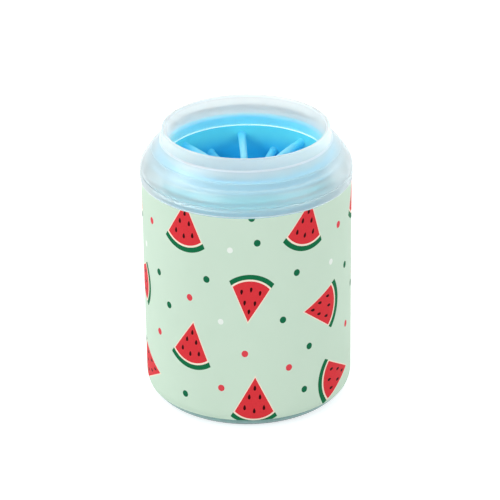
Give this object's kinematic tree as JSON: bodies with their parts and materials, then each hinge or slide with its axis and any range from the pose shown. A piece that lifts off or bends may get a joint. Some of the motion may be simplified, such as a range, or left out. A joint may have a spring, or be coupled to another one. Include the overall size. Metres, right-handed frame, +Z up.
{
  "type": "paw washer cup",
  "caption": "Tumbler with a printed film, a silicone brush sleeve inside and a screw-on frosted collar, for washing a dog's paws one at a time.",
  "frame": {"origin": "centre of the foot ring, on the surface that the cup stands on", "axes": "+Z up along the cup's axis, out of the mouth; -Y the front; +X to the right when seen from the front"},
  "size_m": [0.096, 0.096, 0.1307],
  "materials": {
    "clear_plastic": "clear, smoky blue-grey, glossy moulded plastic",
    "printed_film": "pale mint film with a tossed print of melon slices and dots, satin",
    "silicone": "soft sky-blue silicone, matt",
    "bristle_silicone": "soft sky-blue silicone, thin and slightly translucent",
    "frosted_plastic": "milky frosted polypropylene, satin"
  },
  "bodies": {
    "cup": {"cup_shell": "clear_plastic", "print_wrap": "printed_film"},
    "brush": {"brush_sleeve": "silicone", "bristle_row_01": "bristle_silicone", "bristle_row_02": "bristle_silicone", "bristle_row_03": "bristle_silicone", "bristle_row_04": "bristle_silicone", "bristle_row_05": "bristle_silicone", "bristle_row_06": "bristle_silicone", "bristle_row_07": "bristle_silicone", "bristle_row_08": "bristle_silicone", "bristle_row_09": "bristle_silicone", "bristle_row_10": "bristle_silicone", "bristle_row_11": "bristle_silicone", "bristle_row_12": "bristle_silicone"},
    "collar": {"screw_collar": "frosted_plastic"}
  },
  "joints": [
    {"name": "brush_rise", "type": "slide", "parent": "cup", "child": "brush", "axis": [0, 0, 1], "range_m": [0, 0.00262]},
    {"name": "collar_turn", "type": "hinge", "parent": "brush", "child": "collar", "pos_m": [0, 0, 0.11], "axis": [0, 0, 1], "range_deg": [0, 270]}
  ],
  "couplings": [
    {"joint": "collar_turn", "follows": "brush_rise", "rad_per_m": 1795.2}
  ]
}
